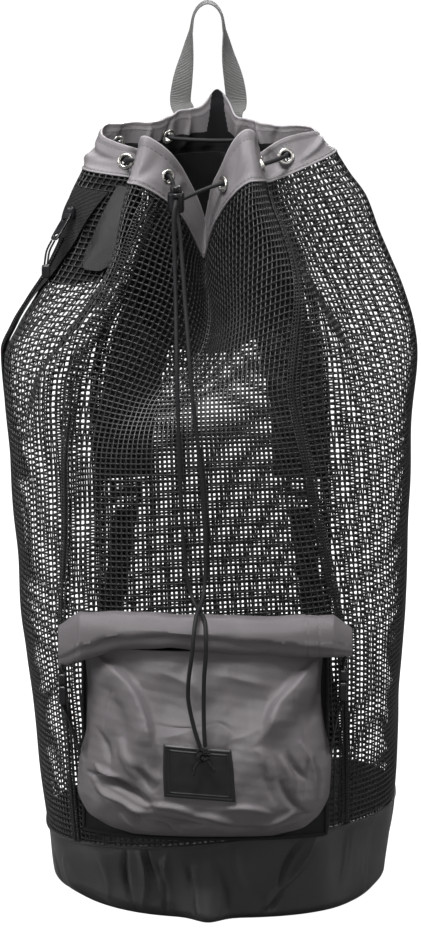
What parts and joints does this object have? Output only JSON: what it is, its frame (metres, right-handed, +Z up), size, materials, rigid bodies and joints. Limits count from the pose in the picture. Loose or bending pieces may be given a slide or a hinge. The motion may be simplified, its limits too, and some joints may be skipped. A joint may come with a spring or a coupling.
{
  "type": "mesh dive gear bag",
  "caption": "Tall net backpack for dive gear on a cloth base, with a gathered drawcord collar, a webbing haul loop, a side zip and a roll-top front pocket.",
  "frame": {"origin": "middle of the flat underside of the cloth base, on the surface that the bag stands on", "axes": "+Z up the bag, -Y out of the front with the pocket, +X to the right as the front is seen"},
  "size_m": [0.4385, 0.444, 0.93],
  "materials": {
    "net": "vinyl-coated polyester square net",
    "base_cloth": "coated polyester cloth with a soft sheen",
    "collar_cloth": "coated polyester cloth, matt",
    "pocket_cloth": "welded coated nylon cloth with a soft sheen",
    "black_webbing": "woven polypropylene webbing and tape",
    "haul_webbing": "woven ribbed webbing",
    "strap_cloth": "padded woven cloth",
    "cord": "braided round cord",
    "black_plastic": "moulded acetal, satin",
    "ring_metal": "nickel-plated brass",
    "patch_rubber": "moulded soft rubber, matt"
  },
  "bodies": {
    "bag": {"base": "base_cloth", "buckle_prongs_left": "black_plastic", "buckle_prongs_right": "black_plastic", "buckle_socket_left": "black_plastic", "buckle_socket_right": "black_plastic", "collar": "collar_cloth", "cord_lock_barrel": "black_plastic", "drawcord": "cord", "drawcord_knot": "cord", "drawcord_tail_left": "cord", "drawcord_tail_right": "cord", "grommet_1": "ring_metal", "grommet_10": "ring_metal", "grommet_2": "ring_metal", "grommet_3": "ring_metal", "grommet_4": "ring_metal", "grommet_5": "ring_metal", "grommet_6": "ring_metal", "grommet_7": "ring_metal", "grommet_8": "ring_metal", "grommet_9": "ring_metal", "haul_loop": "haul_webbing", "net_back": "net", "net_front": "net", "net_left": "net", "net_right": "net", "pocket_backing": "black_webbing", "pocket_front": "pocket_cloth", "pocket_patch": "patch_rubber", "pocket_roll": "pocket_cloth", "pocket_strap_left": "black_webbing", "pocket_strap_right": "black_webbing", "roll_strap_left": "black_webbing", "roll_strap_right": "black_webbing", "seam_back_left": "net", "seam_back_right": "net", "seam_front_left": "net", "seam_front_right": "net", "shoulder_strap_left": "strap_cloth", "shoulder_strap_right": "strap_cloth", "strap_adjuster_left": "black_plastic", "strap_adjuster_right": "black_plastic", "strap_webbing_left": "black_webbing", "strap_webbing_right": "black_webbing", "zip_garage": "base_cloth", "zip_pull_cord_1": "cord", "zip_pull_cord_2": "cord", "zip_pull_end": "black_plastic", "zip_slider": "black_plastic", "zip_tab": "black_plastic", "zip_tape": "black_webbing", "zip_teeth": "black_plastic"},
    "lock_button": {"cord_lock_button": "black_plastic"}
  },
  "joints": [
    {"name": "lock_button_press", "type": "slide", "parent": "bag", "child": "lock_button", "axis": [0, 0, -1], "range_m": [0, 0.004], "stiffness_N_per_m": 300, "springref_m": -0.002}
  ]
}
